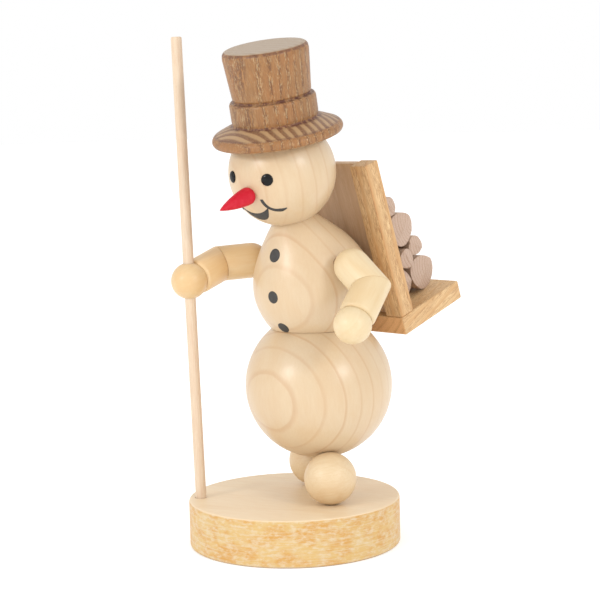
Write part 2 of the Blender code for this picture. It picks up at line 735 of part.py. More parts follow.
def make_logs(finishes):
    """The stack of logs on the shelf."""
    for number, (back, height, radius, shift) in enumerate(LOG_ROWS, start=1):
        make_log(number, back, height, radius, shift, finishes)


def build():
    """Make the whole figure from the base upwards."""
    clear_scene()
    finishes = make_finishes()
    base = make_base(finishes)
    belly = make_belly(finishes)
    make_foot("left", LEFT_FOOT_XY, base, belly, finishes)
    make_foot("right", RIGHT_FOOT_XY, base, belly, finishes)
    torso = make_torso(finishes)
    waist = Vector((BELLY_CENTRE.x, BELLY_CENTRE.y, WAIST_HEIGHT))
    doweled("waist_dowel", waist, UP, WAIST_DOWEL_RADIUS, WAIST_DOWEL_REACH, belly, torso,
            finishes["dowel_wood"])
    head = make_head(finishes)
    doweled("neck_dowel", neck_point(), leaning(NECK_LEAN), NECK_DOWEL_RADIUS, NECK_DOWEL_REACH, torso, head,
            finishes["dowel_wood"])
    make_eye("left", LEFT_EYE_BEARING, LEFT_EYE_PITCH, head, finishes)
    make_eye("right", RIGHT_EYE_BEARING, RIGHT_EYE_PITCH, head, finishes)
    make_nose(head, finishes)
    make_hat(head, finishes)
    make_arm("left", LEFT_SHOULDER, LEFT_ELBOW, LEFT_HAND, torso, finishes)
    right_hand = make_arm("right", RIGHT_SHOULDER, RIGHT_ELBOW, right_hand_centre(), torso, finishes)
    make_staff(base, right_hand, finishes)
    make_carrier(torso, finishes)
    make_logs(finishes)


build()
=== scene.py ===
"""The looks of the wooden snowman: fine turned meshes, woods, paint, studio and camera.

Units are metres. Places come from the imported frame: balls, sticks and boxes are measured on
the CAD nodes that they replace. Wood patterns are worked out in millimetres.
"""
import math

import bmesh
import bpy
import numpy as np
from mathutils import Matrix, Vector, noise
from mathutils.bvhtree import BVHTree
from mathutils.geometry import interpolate_bezier


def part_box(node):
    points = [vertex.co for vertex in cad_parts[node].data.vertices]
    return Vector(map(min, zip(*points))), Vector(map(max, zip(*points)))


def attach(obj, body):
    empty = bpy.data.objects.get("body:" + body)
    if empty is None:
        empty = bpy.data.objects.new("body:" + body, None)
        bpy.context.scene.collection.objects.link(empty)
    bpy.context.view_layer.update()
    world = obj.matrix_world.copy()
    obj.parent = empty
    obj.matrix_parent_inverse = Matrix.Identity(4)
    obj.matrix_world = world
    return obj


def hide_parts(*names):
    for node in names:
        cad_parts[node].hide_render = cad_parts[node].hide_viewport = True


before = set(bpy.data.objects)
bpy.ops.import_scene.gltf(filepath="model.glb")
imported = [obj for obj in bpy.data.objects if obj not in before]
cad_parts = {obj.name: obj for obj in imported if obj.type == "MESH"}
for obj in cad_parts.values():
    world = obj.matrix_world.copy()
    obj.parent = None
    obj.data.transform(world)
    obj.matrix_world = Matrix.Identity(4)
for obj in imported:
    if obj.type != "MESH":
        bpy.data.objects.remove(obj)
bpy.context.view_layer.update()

MM = 0.001
UP = Vector((0.0, 0.0, 1.0))
JOINT_GAP = 0.05 * MM
ELBOW_GAP = 0.02 * MM
HAND_GAP = 0.03 * MM
ARM_MIN_LENGTH = 4.5 * MM
WRIST_SETBACK = 2.3 * MM
DOWEL_GAP = 0.3 * MM
GLUE_LINE = 0.25 * MM
FIT_TOLERANCE = 0.02 * MM
FIT_ROUNDS = 12
RIM_EASE = 0.22 * MM

# Shapes that the turner's profiles need beyond what the frame gives
TORSO_LEAN = math.radians(21.6)
TORSO_BOTTOM_RATIO = 0.0150 / 0.0139
TORSO_UPPER_SHAPE = ((1.0, 0.0), (1.0, 0.475), (0.604, 0.906), (0.349, 1.2043))
FACE_BEARING = math.radians(-0.8)
FOREARM_ROUNDING = 1.0 * MM
NOSE_LENGTH = 10.5 * MM
EYE_SHANK = 0.5 * MM
LOG_INSET = 0.04 * MM
LOG_END_SLOPE = math.radians(12.0)
FIRST_RIDGE_TURN = math.radians(107.0)
RIDGE_TURN_STEP = math.radians(37.0)

# The hat's outline as radius and height above the head's centre, in parts of the brim's radius
HAT_BRIM_PARTS = 14.86
HAT_UNDERSIDE = 7.8
HAT_OUTLINE = (
    (13.9, 7.80), (14.45, 8.00), (14.86, 8.65), (14.80, 9.40), (14.25, 10.12), (11.9, 11.15), (9.75, 11.98),
    (9.66, 12.25), (9.80, 12.9), (9.80, 16.60), (9.45, 17.20), (8.95, 17.22), (8.72, 17.30), (8.72, 17.65),
    (8.92, 18.0), (9.74, 27.0), (9.62, 27.95), (9.22, 28.48), (8.60, 28.68), (7.8, 28.70),
)

# Its wood in millimetres: ring spacing, the pith's place, and dark bands of painted shade and staining as
# height, reach and strength
HAT_RINGS = 2.0
HAT_PITH = Vector((-2.2, -40.5, -9.4))
HAT_CROWN_FROM = 20.0
# The first two bands are painted shade in the hat's inner corners; the last two are darker staining on the
# crown's top edge and the brim's upper rim.
HAT_SHADE_AND_STAIN_BANDS = ((17.45, 0.50, 1.0), (12.05, 0.45, 1.0), (28.15, 0.45, 0.75), (10.25, 0.25, 0.5))

# Painted marks: degrees across the face and pitch, or bearing and pitch from the torso's centre
PAINT_LIFT = 0.03 * MM
PAINT_DEPTH = 0.08 * MM
RAY_START = 50.0 * MM
MOUTH_HALF_WIDTH = 19.5
CHEEK_PATH = ((17.4, -27.8, 0.0), (17.8, -41.2, 0.0), (27.0, -45.6, 0.0), (39.6, -38.8, 0.0))
CHEEK_HALF_WIDTH = 2.05
BUTTONS = ((2.0, 30.8), (2.5, -7.4), (3.5, -40.3))
BUTTON_SIZE = math.radians(5.9)

# Camera, as seen from the snowman's front left
VIEW_BEARING = math.radians(44.41)
VIEW_RISE = math.radians(6.43)
VIEW_DISTANCE = 0.3764
VIEW_AIM_RIGHT = 0.00245
VIEW_AIM_UP = 0.0569
VIEW_ROLL = math.radians(-1.411)
SENSOR_WIDTH_MM = 36.0
LENS_MM = 97.39
CLIP_START = 0.01

# Studio
FLOOR_SIZE = 6.0
FLOOR_GLOW = 0.25
SOFTBOX_DISTANCE = 0.8
SOFTBOX_AIM_HEIGHT = 0.06


# Measuring the frame


def node_points(node):
    """All vertices of a CAD node as an array."""
    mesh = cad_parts[node].data
    points = np.empty(len(mesh.vertices) * 3)
    mesh.vertices.foreach_get("co", points)
    return points.reshape(-1, 3)


def node_ball(node):
    """Centre and radius of the ball that a node was turned as, from its outer vertices."""
    points = node_points(node)
    for _ in range(FIT_ROUNDS):
        system = np.c_[2.0 * points, np.ones(len(points))]
        solution = np.linalg.lstsq(system, (points ** 2).sum(axis=1), rcond=None)[0]
        centre = solution[:3]
        radius = math.sqrt(solution[3] + centre @ centre)
        reach = np.linalg.norm(points - centre, axis=1)
        kept = reach > radius - max(FIT_TOLERANCE, 0.5 * (radius - reach.min()))
        if kept.all():
            break
        points = points[kept]
    return Vector(centre), radius


def girth(points, origin, way):
    """The largest distance of points from an axis."""
    offsets = points - np.array(origin)
    aside = offsets - np.outer(offsets @ np.array(way), np.array(way))
    return np.linalg.norm(aside, axis=1).max()


def node_stick(node):
    """Both end points and the radius of a straight round stick."""
    points = node_points(node)
    middle = (points.max(axis=0) + points.min(axis=0)) / 2.0
    spread, axes = np.linalg.svd(points - points.mean(axis=0), full_matrices=False)[1:]
    direction = axes[0] if spread[0] - spread[1] > spread[1] - spread[2] else axes[2]
    direction = direction * np.sign(direction[np.abs(direction).argmax()])
    along_it = (points - middle) @ direction
    middle = middle + (points - middle - np.outer(along_it, direction)).mean(axis=0)
    way = Vector(direction)
    ends = Vector(middle) + way * along_it.min(), Vector(middle) + way * along_it.max()
    return *ends, girth(points, middle, direction)


def stick_way(node):
    """The direction of a stick."""
    start, end, _ = node_stick(node)
    return (end - start).normalized()


def begins(node, way):
    """How far along a direction a node begins."""
    return (node_points(node) @ np.array(way)).min()


def flat_side(node, towards):
    """The normal of a node's widest flat triangle that faces a direction."""
    facing = [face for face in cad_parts[node].data.polygons if face.normal.dot(towards) > 0.8]
    return max(facing, key=lambda face: face.area).normal.copy()


# Building meshes


def along(direction, origin=Vector((0.0, 0.0, 0.0))):
    """The placement that stands local +Z along a direction at an origin."""
    turn = direction.to_track_quat("Z", "Y").to_matrix().to_4x4()
    return Matrix.Translation(origin) @ turn


def rounded(corners, radius, steps=5):
    """A profile whose inner corners are rounded by arcs of about one radius."""
    outline = [corners[0]]
    for before, corner, after in zip(corners, corners[1:], corners[2:]):
        here = Vector(corner)
        back = Vector(before) - here
        forth = Vector(after) - here
        reach = min(radius, back.length * 0.45, forth.length * 0.45)
        start = here + back.normalized() * reach
        end = here + forth.normalized() * reach
        for step in range(steps + 1):
            share = step / steps
            point = start.lerp(here, share).lerp(here.lerp(end, share), share)
            outline.append((point.x, point.y))
    outline.append(corners[-1])
    return outline


def skin(shape, rings):
    """Join rings of vertices by faces; a ring of one vertex is a pole."""
    for lower, upper in zip(rings, rings[1:]):
        segments = max(len(lower), len(upper))
        for step in range(segments):
            following = (step + 1) % segments
            if len(lower) == 1:
                shape.faces.new((lower[0], upper[following], upper[step]))
            elif len(upper) == 1:
                shape.faces.new((lower[step], lower[following], upper[0]))
            else:
                shape.faces.new((lower[step], lower[following], upper[following], upper[step]))


def turned_mesh(name, profile, segments, placement=Matrix.Identity(4)):
    """Revolve a profile of (radius, height), bottom to top, into one closed mesh."""
    shape = bmesh.new()
    rings = []
    for radius, height in profile:
        ring = []
        for step in range(segments if radius > 1e-9 else 1):
            angle = 2.0 * math.pi * step / segments
            ring.append(shape.verts.new((radius * math.cos(angle), radius * math.sin(angle), height)))
        rings.append(ring)
    skin(shape, rings)
    bmesh.ops.transform(shape, matrix=placement, verts=shape.verts)
    bmesh.ops.recalc_face_normals(shape, faces=shape.faces)
    return to_mesh(shape, name)


def to_mesh(shape, name):
    """Turn a bmesh into a mesh and free it."""
    mesh = bpy.data.meshes.new(name)
    shape.to_mesh(mesh)
    shape.free()
    return mesh


def shade(mesh, angle=35.0):
    """Smooth shading except over real edges."""
    mesh.shade_smooth()
    mesh.set_sharp_from_angle(angle=math.radians(angle))


def add_piece(name, mesh, material, slot, *nodes):
    """A visible piece that rides on the root body and stands for CAD nodes."""
    piece = bpy.data.objects.new(name, mesh)
    bpy.context.scene.collection.objects.link(piece)
    mesh.materials.clear()
    mesh.materials.append(material)
    shade(mesh)
    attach(piece, "root")
    if nodes:
        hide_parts(*nodes)
    return piece


def ball_profile(radius, rings, bottom=None, top=None):
    """A ball's half outline, cut flat at a bottom and a top height where given."""
    low = -math.pi / 2.0 if bottom is None else math.asin(bottom / radius)
    high = math.pi / 2.0 if top is None else math.asin(top / radius)
    outline = [(0.0, radius * math.sin(low))]
    first = 0 if bottom is not None else 1
    last = rings if top is not None else rings - 1
    for step in range(first, last + 1):
        angle = low + (high - low) * step / rings
        outline.append((radius * math.cos(angle), radius * math.sin(angle)))
    outline.append((0.0, radius * math.sin(high)))
    return outline


def slice_off(mesh, point, normal):
    """Saw a closed mesh at a plane, keep the side behind the normal and close the cut."""
    shape = bmesh.new()
    shape.from_mesh(mesh)
    everything = shape.verts[:] + shape.edges[:] + shape.faces[:]
    bmesh.ops.bisect_plane(shape, geom=everything, plane_co=point, plane_no=normal, clear_outer=True,
                           dist=1e-7)
    rim = [edge for edge in shape.edges if edge.is_boundary]
    bmesh.ops.contextual_create(shape, geom=rim)
    bmesh.ops.recalc_face_normals(shape, faces=shape.faces)
    shape.to_mesh(mesh)
    shape.free()


def carve(piece, cutter_mesh):
    """Subtract a closed mesh from a piece and keep the result as its own mesh."""
    cutter = bpy.data.objects.new("cutter", cutter_mesh)
    bpy.context.scene.collection.objects.link(cutter)
    cut = piece.modifiers.new("cut", "BOOLEAN")
    cut.operation = "DIFFERENCE"
    cut.solver = "EXACT"
    cut.object = cutter
    result = bpy.data.meshes.new_from_object(piece.evaluated_get(bpy.context.evaluated_depsgraph_get()))
    piece.modifiers.clear()
    piece.data = result
    shade(result)
    bpy.data.objects.remove(cutter, do_unlink=True)


def drill_for(piece, *stick_nodes, gap=DOWEL_GAP):
    """Drill the holes that dowels, pins or the staff sit in, turned so that no facets line up."""
    for node in stick_nodes:
        start, end, radius = node_stick(node)
        way = (end - start).normalized()
        length = (end - start).length + 2.0 * gap
        hole = radius + gap
        outline = [(0.0, 0.0), (hole, 0.0), (hole, length), (0.0, length)]
        placement = along(way, start - way * gap) @ Matrix.Rotation(0.13, 4, "Z")
        carve(piece, turned_mesh("drill", outline, 32, placement))


def cup_for(piece, centre, radius, way, rings=64, segments=96):
    """Hollow a piece out for a ball."""
    carve(piece, turned_mesh("cup", ball_profile(radius, rings), segments, along(way, centre)))


# Node helpers


class Graph:
    """Builds one material's node tree."""

    def __init__(self, material):
        """Work on a built material, or on a new one of a given name."""
        if isinstance(material, str):
            material = bpy.data.materials.new(material)
            material.use_nodes = True
        self.material = material
        self.tree = material.node_tree
        self.shader = self.tree.nodes["Principled BSDF"]

    def colour(self):
        """The colour that the shader shows so far."""
        return self.shader.inputs["Base Color"].links[0].from_socket

    def surface(self, name, value):
        """Set or link one input of the shader."""
        self.plug(self.shader.inputs[name], value)

    def plug(self, socket, value):
        """Set a socket's value, or link another socket to it."""
        if isinstance(value, bpy.types.NodeSocket):
            self.tree.links.new(value, socket)
        elif value is not None:
            socket.default_value = value

    def node(self, kind, inputs=None, **settings):
        """Add a node, with its settings and inputs by name or number."""
        made = self.tree.nodes.new(kind)
        for key, value in settings.items():
            setattr(made, key, value)
        for key, value in (inputs or {}).items():
            self.plug(made.inputs[key], value)
        return made

    def math(self, operation, first, second=None, third=None, clamp=False):
        """One Math node's result."""
        made = self.node("ShaderNodeMath", operation=operation, use_clamp=clamp)
        for number, value in enumerate((first, second, third)):
            self.plug(made.inputs[number], value)
        return made.outputs[0]

    def times(self, first, second, clamp=False):
        """The product of two numbers."""
        return self.math("MULTIPLY", first, second, clamp=clamp)

    def vector(self, operation, first, second=None):
        """One Vector Math node's result."""
        made = self.node("ShaderNodeVectorMath", operation=operation)
        self.plug(made.inputs[0], first)
        self.plug(made.inputs[1], second)
        return made.outputs["Value"] if operation == "LENGTH" else made.outputs["Vector"]

    def noise(self, space, across, lengthwise, detail=3.0, roughness=0.6, colour=False):
        """Noise with one scale across the fibres and one along them, as a value or a colour."""
        stretched = self.vector("MULTIPLY", space, (across, across, lengthwise))
        made = self.node("ShaderNodeTexNoise",
                         {"Vector": stretched, "Scale": 1.0, "Detail": detail, "Roughness": roughness})
        return made.outputs["Color" if colour else "Fac"]

    def ramp(self, value, stops, smooth=True):
        """A ramp of numbers: (place, value) pairs."""
        made = self.node("ShaderNodeValToRGB", {"Fac": value})
        made.color_ramp.interpolation = "EASE" if smooth else "LINEAR"
        elements = made.color_ramp.elements
        while len(elements) < len(stops):
            elements.new(0.5)
        for element, (place, level) in zip(elements, stops):
            element.position = place
            element.color = (level, level, level, 1.0)
        return made.outputs["Color"]

    def mix(self, share, first, second, blend="MIX"):
        """Mix two colours."""
        made = self.node("ShaderNodeMix", data_type="RGBA", blend_type=blend)
        self.plug(made.inputs["Factor"], share)
        self.plug(made.inputs["A"], first)
        self.plug(made.inputs["B"], second)
        return made.outputs["Result"]

    def swayed(self, space, waves, reach):
        """Coordinates pushed sideways by a noise colour."""
        push = self.vector("SUBTRACT", waves, (0.5, 0.5, 0.5))
        return self.vector("ADD", space, self.vector("MULTIPLY", push, (reach, reach, 0.0)))

    def off_axis(self, space):
        """The distance from the Z axis."""
        return self.vector("LENGTH", self.vector("MULTIPLY", space, (1.0, 1.0, 0.0)))

    def height(self, space):
        """The Z coordinate."""
        return self.node("ShaderNodeSeparateXYZ", {"Vector": space}).outputs["Z"]

    def facing(self, way):
        """How squarely the surface looks along a direction or against it."""
        made = self.node("ShaderNodeVectorMath", operation="DOT_PRODUCT")
        self.plug(made.inputs[0], self.node("ShaderNodeNewGeometry").outputs["Normal"])
        self.plug(made.inputs[1], tuple(way))
        return self.math("ABSOLUTE", made.outputs["Value"])

    def grain_space(self, placement):
        """Object coordinates in millimetres in a wood block's frame, whose Z follows the fibres."""
        inverse = placement.inverted()
        coordinates = self.node("ShaderNodeTexCoord").outputs["Object"]
        mapping = self.node("ShaderNodeMapping", {"Vector": coordinates}, vector_type="POINT")
        mapping.inputs["Scale"].default_value = (1000.0, 1000.0, 1000.0)
        mapping.inputs["Rotation"].default_value = inverse.to_euler("XYZ")
        mapping.inputs["Location"].default_value = inverse.to_translation() * 1000.0
        return mapping.outputs["Vector"]

    def bump(self, height, strength, distance):
        """A bump normal from a height."""
        made = self.node("ShaderNodeBump",
                         {"Height": height, "Strength": strength, "Distance": distance})
        return made.outputs["Normal"]


def rgb(red, green, blue, level=1.0):
    """A display colour of 0 to 255 as a linear shader colour, times a level."""
    linear = []
    for part in (red, green, blue):
        share = part / 255.0
        linear.append(level * (share / 12.92 if share <= 0.04045 else ((share + 0.055) / 1.055) ** 2.4))
    return (*linear, 1.0)


# How bright a surface's own colour is, under this studio's light, to show as its display colour
EXPOSED = 0.72
BODY_LIGHT = 0.69
ARM_LIGHT = 0.74
SHADED = 0.86


def wood(name, placement, tone, line, spacing=1.8, waver=0.6, line_strength=0.5, line_width=0.25, fibre=0.10,
         blotch=0.12, blotch_tone=None, pores=0.0, pore_tone=None, pore_width=0.12, pore_scale=1.0, seed=0.0,
         roughness=0.42, coat=0.0, relief=0.15, end_tone=None):
    """Wood cut from a block: growth rings round the block's Z axis, fibres and pores along it."""
    graph = Graph(name)
    space = graph.grain_space(placement)
    shifted = graph.vector("ADD", space, (seed * 37.0, seed * 53.0, seed * 71.0))

    # Growth rings with late wood of uneven strength
    long_waves = graph.noise(shifted, 0.11, 0.035, 2.0, 0.5, colour=True)
    ring = graph.math("DIVIDE", graph.off_axis(graph.swayed(space, long_waves, waver * 4.0)), spacing)
    share = graph.math("FRACT", ring)
    number = graph.math("FLOOR", ring)
    luck = graph.node("ShaderNodeTexWhiteNoise", {"W": number}, noise_dimensions="1D").outputs["Value"]
    late = graph.ramp(share, ((0.0, 0.5), (0.05, 0.0), (1.0 - line_width, 0.0), (0.96, 1.0), (1.0, 0.8)))
    late = graph.times(late, graph.math("MULTIPLY_ADD", luck, 0.8, 0.45))
    colour = graph.mix(graph.times(late, line_strength, clamp=True), tone, line)

    # Clouds and fibres
    fine = graph.noise(shifted, 9.0, 0.45, 4.0)
    coarse = graph.noise(shifted, 2.2, 0.16, 3.0, 0.5)
    cloud = graph.noise(shifted, 0.16, 0.07, 3.0, 0.55)
    cloud_share = graph.ramp(cloud, ((0.35, 0.0), (0.65, 1.0)))
    colour = graph.mix(graph.times(cloud_share, blotch), colour, blotch_tone or line)
    streak = graph.times(graph.math("ADD", fine, coarse), 0.5)
    streak_share = graph.ramp(streak, ((0.36, 1.0), (0.62, 0.0)))
    colour = graph.mix(graph.times(streak_share, fibre), colour, line)
    height = graph.times(streak, 0.5)

    if pores:
        cells = graph.noise(shifted, 3.6 * pore_scale, 0.32 * pore_scale, 2.0, 0.55)
        crumbs = graph.noise(shifted, 11.0 * pore_scale, 1.1 * pore_scale, 2.0)
        early = graph.ramp(share, ((0.0, 1.0), (pore_width, 0.9), (pore_width * 2.4, 0.12), (0.9, 0.05),
                                   (1.0, 0.8)))
        mottle = graph.math("MULTIPLY_ADD", crumbs, 0.45, graph.times(cells, 0.62))
        open_cells = graph.ramp(mottle, ((0.50, 0.0), (0.60, 1.0)))
        pit = graph.times(open_cells, graph.math("MULTIPLY_ADD", early, 0.9, 0.12), clamp=True)
        colour = graph.mix(graph.times(pit, pores, clamp=True), colour, pore_tone or line)
        height = graph.math("SUBTRACT", height, graph.times(pit, pores))
    if end_tone:
        fibre_way = placement.to_3x3().col[2].normalized()
        end_share = graph.ramp(graph.facing(fibre_way), ((0.72, 0.0), (0.93, 1.0)))
        end_colour = graph.mix(graph.times(late, 0.6, clamp=True), end_tone, line)
        end_colour = graph.mix(graph.ramp(fine, ((0.3, 0.5), (0.62, 0.0))), end_colour, pore_tone or line)
        colour = graph.mix(end_share, colour, end_colour)
    graph.surface("Base Color", colour)
    rough = graph.math("MULTIPLY_ADD", graph.math("SUBTRACT", 1.0, streak), 0.25, roughness - 0.12)
    graph.surface("Roughness", rough)
    graph.surface("Coat Weight", coat)
    graph.surface("Coat Roughness", 0.28)
    graph.surface("Normal", graph.bump(height, relief, 0.3 * MM))
    return graph.material


def paint(name, colour, roughness, mottled, lighter=None, gloss=0.5):
    """Brushed paint with a faint mottle and a slightly uneven skin."""
    graph = Graph(name)
    space = graph.grain_space(Matrix.Identity(4))
    cloud = graph.noise(space, 0.9, 0.9)
    grain = graph.noise(space, 6.0, 2.0)
    if lighter is None:
        lighter = tuple(min(1.0, part * 1.25 + 0.01) for part in colour)
    share = graph.times(graph.ramp(cloud, ((0.35, 0.0), (0.7, 1.0))), mottled, clamp=True)
    graph.surface("Base Color", graph.mix(share, colour, (*lighter[:3], 1.0)))
    graph.surface("Roughness", graph.math("MULTIPLY_ADD", grain, 0.15, roughness - 0.07))
    graph.surface("Specular IOR Level", gloss)
    graph.surface("Normal", graph.bump(grain, 0.12, 0.1 * MM))
    return graph.material


# Balls and body


def pale_wood(name, pith, way=UP, seed=0.0, **changes):
    """Maple as on the belly, torso and head: a few faint rings under a satin coat."""
    settings = dict(
        tone=rgb(242, 215, 176, BODY_LIGHT), line=rgb(212, 158, 108, BODY_LIGHT), spacing=3.3, waver=0.22,
        line_strength=0.32, line_width=0.20, fibre=0.09, blotch=0.30,
        blotch_tone=rgb(236, 197, 148, BODY_LIGHT), roughness=0.42, coat=0.45, relief=0.05, seed=seed,
    )
    settings.update(changes)
    return wood(name, along(way, pith), **settings)


def make_belly():
    """The big belly ball with a flat top."""
    centre, radius = node_ball("belly")
    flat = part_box("belly")[1].z - centre.z
    mesh = turned_mesh("belly_ball", ball_profile(radius, 72, top=flat), 128, along(UP, centre))
    pith = centre + Vector((2.1, 43.8, 0.0)) * MM
    material = pale_wood("belly_maple", pith, Vector((0.0, -0.12, 1.0)), 1.0)
    piece = add_piece("belly_ball", mesh, material, "pale_wood", "belly")
    drill_for(piece, "waist_dowel", "left_leg_dowel", "right_leg_dowel")


def torso_egg(name, grow=0.0):
    """The whole turned egg before it is sawn, and its centre."""
    points = node_points("torso")
    low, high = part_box("torso")
    widest = points[points[:, 0].argmax()]
    centre = Vector(((low.x + high.x) / 2.0, widest[1], widest[2]))
    radius = (high.x - low.x) / 2.0
    outline = []
    steps = 36
    for step in range(steps):
        angle = math.pi / 2.0 * (1.0 - step / steps)
        height = -(radius * TORSO_BOTTOM_RATIO + grow) * math.sin(angle)
        outline.append(((radius + grow) * math.cos(angle) if step else 0.0, height))
    corners = [Vector((across, height, 0.0)) * radius for across, height in TORSO_UPPER_SHAPE]
    for point in interpolate_bezier(*corners, 48):
        outline.append((point.x + grow, point.y))
    outward = (corners[3] - corners[2]).normalized()
    tip = corners[3] + outward * 0.07 * radius
    outline += [(tip.x + grow, tip.y), (0.0, tip.y)]
    lean = Vector((0.0, -math.sin(TORSO_LEAN), math.cos(TORSO_LEAN)))
    segments = 133 if grow else 128
    return turned_mesh(name, outline, segments, along(lean, centre)), centre


def make_torso():
    """The egg-shaped torso, sawn at the waist, the neck and the panel."""
    mesh, centre = torso_egg("torso_egg")
    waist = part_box("belly")[1].z + JOINT_GAP
    slice_off(mesh, Vector((0.0, 0.0, waist)), -UP)
    neck_way = stick_way("neck_dowel")
    slice_off(mesh, neck_way * (begins("head", neck_way) - JOINT_GAP), neck_way)
    _, backward = carrier_axes()
    slice_off(mesh, backward * (begins("carrier_panel", backward) - JOINT_GAP), backward)
    pith = centre + Vector((-5.8, 44.5, 0.0)) * MM
    material = pale_wood("torso_maple", pith, Vector((0.0, -0.2, 1.0)), 2.0, line_strength=0.30)
    piece = add_piece("torso_egg", mesh, material, "pale_wood", "torso")
    drill_for(piece, "waist_dowel", "neck_dowel", "carrier_dowel")
    drill_for(piece, "left_shoulder_dowel", "right_shoulder_dowel", gap=JOINT_GAP)
    return piece, centre


def make_head():
    """The head ball, flat under the chin."""
    centre, radius = node_ball("head")
    neck_way = stick_way("neck_dowel")
    chin = begins("head", neck_way) - centre.dot(neck_way)
    mesh = turned_mesh("head_ball", ball_profile(radius, 64, bottom=chin), 128, along(neck_way, centre))
    pith = centre + Vector((24.0, 37.0, 0.0)) * MM
    material = pale_wood("head_maple", pith, neck_way, 3.0, spacing=3.6, line_strength=0.26)
    piece = add_piece("head_ball", mesh, material, "pale_wood", "head")
    drill_for(piece, "neck_dowel", "hat_dowel")
    return piece, centre


def make_feet():
    """Both ball feet, flat on the base and cupped under the belly."""
    belly_centre, belly_radius = node_ball("belly")
    for side, seed in (("left", 4.0), ("right", 5.0)):
        centre, radius = node_ball(side + "_foot")
        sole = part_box("base")[1].z + JOINT_GAP - centre.z
        mesh = turned_mesh(side + "_foot_ball", ball_profile(radius, 40, bottom=sole), 72, along(UP, centre))
        grain = along(Vector((0.9, 0.7, 0.2)), centre + Vector((5.0, 14.0, 9.0)) * MM)
        material = wood(side + "_foot_maple", grain, tone=rgb(255, 229, 187, BODY_LIGHT),
                        line=rgb(232, 188, 134, BODY_LIGHT), spacing=4.0, line_strength=0.12, fibre=0.25,
                        blotch=0.22, roughness=0.5, coat=0.15, relief=0.08, seed=seed)
        piece = add_piece(side + "_foot_ball", mesh, material, "foot_wood", side + "_foot")
        cup_for(piece, belly_centre, belly_radius + JOINT_GAP, UP)
        drill_for(piece, side + "_foot_pin", side + "_leg_dowel")


def make_base():
    """The base disc with softened edges and fine turning marks on its side."""
    low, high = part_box("base")
    radius = (high.x - low.x) / 2.0
    corners = [(0.0, low.z), (radius, low.z), (radius, high.z), (0.0, high.z)]
    outline = rounded(corners, 0.6 * MM, 6)
    piece = add_piece("base_disc", turned_mesh("base_disc", outline, 192), base_wood(), "base_wood", "base")
    drill_for(piece, "staff", gap=JOINT_GAP)
    drill_for(piece, "left_foot_pin", "right_foot_pin")


def base_wood():
    """The base's wood: plain and pale on top, yellow, mottled and combed by the chisel round its side."""
    flat = along(Vector((1.0, 0.35, 0.0)), Vector((0.0, 0.0, -60.0)) * MM)
    material = wood("base_maple", flat, tone=rgb(244, 222, 188, SHADED), line=rgb(228, 190, 140, SHADED),
                    spacing=2.9, waver=1.2, line_strength=0.22, line_width=0.35, fibre=0.22, blotch=0.22,
                    blotch_tone=rgb(238, 208, 164, SHADED), roughness=0.46, relief=0.06, seed=6.0)
    graph = Graph(material)
    space = graph.grain_space(Matrix.Identity(4))
    comb = graph.noise(space, 0.10, 5.5)
    grain = graph.noise(space, 0.60, 1.3, 6.0, 0.70)
    cloud = graph.noise(space, 0.16, 0.30)
    yellow = rgb(240, 200, 126, BODY_LIGHT)
    orange = rgb(232, 168, 74, BODY_LIGHT)
    pale = rgb(246, 226, 190, BODY_LIGHT)
    side = graph.mix(graph.ramp(cloud, ((0.42, 0.0), (0.60, 0.75))), yellow, orange)
    side = graph.mix(graph.ramp(grain, ((0.42, 0.0), (0.66, 0.75))), side, pale)
    side = graph.mix(graph.ramp(comb, ((0.52, 0.0), (0.66, 0.50))), side, pale)
    side = graph.mix(graph.ramp(comb, ((0.34, 0.40), (0.44, 0.0))), side, orange)
    flatness = graph.ramp(graph.facing(UP), ((0.25, 0.0), (0.75, 1.0)))
    colour = graph.mix(flatness, side, graph.colour())
    # Darker brown at the base's bottom rim, in a band below about 0.42 mm of height.
    bottom_rim_band = graph.ramp(graph.height(space), ((0.12, 0.7), (0.42, 0.0)))
    colour = graph.mix(bottom_rim_band, colour, rgb(160, 120, 74, BODY_LIGHT))
    graph.surface("Base Color", colour)
    ridges = graph.times(comb, graph.math("SUBTRACT", 1.0, flatness))
    graph.surface("Normal", graph.bump(ridges, 0.35, 0.25 * MM))
    return material


# Hat


def finely_stepped(outline, step):
    """An outline with extra points, so that no stretch is longer than about one step."""
    dense = []
    for before, after in zip(outline, outline[1:]):
        count = max(1, int(math.dist(before, after) / step))
        for number in range(count):
            point = Vector(before).lerp(Vector(after), number / count)
            dense.append((point.x, point.y))
    return dense + [outline[-1]]


def make_hat():
    """The turned hat: rounded brim, band and flared crown, cupped to sit on the head."""
    way = flat_side("hat", UP)
    head_centre, head_radius = node_ball("head")
    points = node_points("hat")
    heights = points @ np.array(way)
    cap = points[heights > heights.max() - FIT_TOLERANCE]
    top_centre = Vector((cap.max(axis=0) + cap.min(axis=0)) / 2.0)
    crown_height = heights.max() - head_centre.dot(way)
    origin = top_centre - way * crown_height
    unit = girth(points, origin, way) / HAT_BRIM_PARTS
    outline = [(0.0, HAT_UNDERSIDE * unit)]
    outline += rounded([(r * unit, h * unit) for r, h in HAT_OUTLINE], 0.5 * MM, 4)
    outline.append((0.0, crown_height))
    mesh = turned_mesh("turned_hat", finely_stepped(outline, 0.45 * MM), 200, along(way, origin))
    material = hat_wood(way, origin + HAT_PITH * MM, origin)
    piece = add_piece("turned_hat", mesh, material, "hat_wood", "hat")
    cup_for(piece, head_centre, head_radius + JOINT_GAP, way)
    drill_for(piece, "hat_dowel")


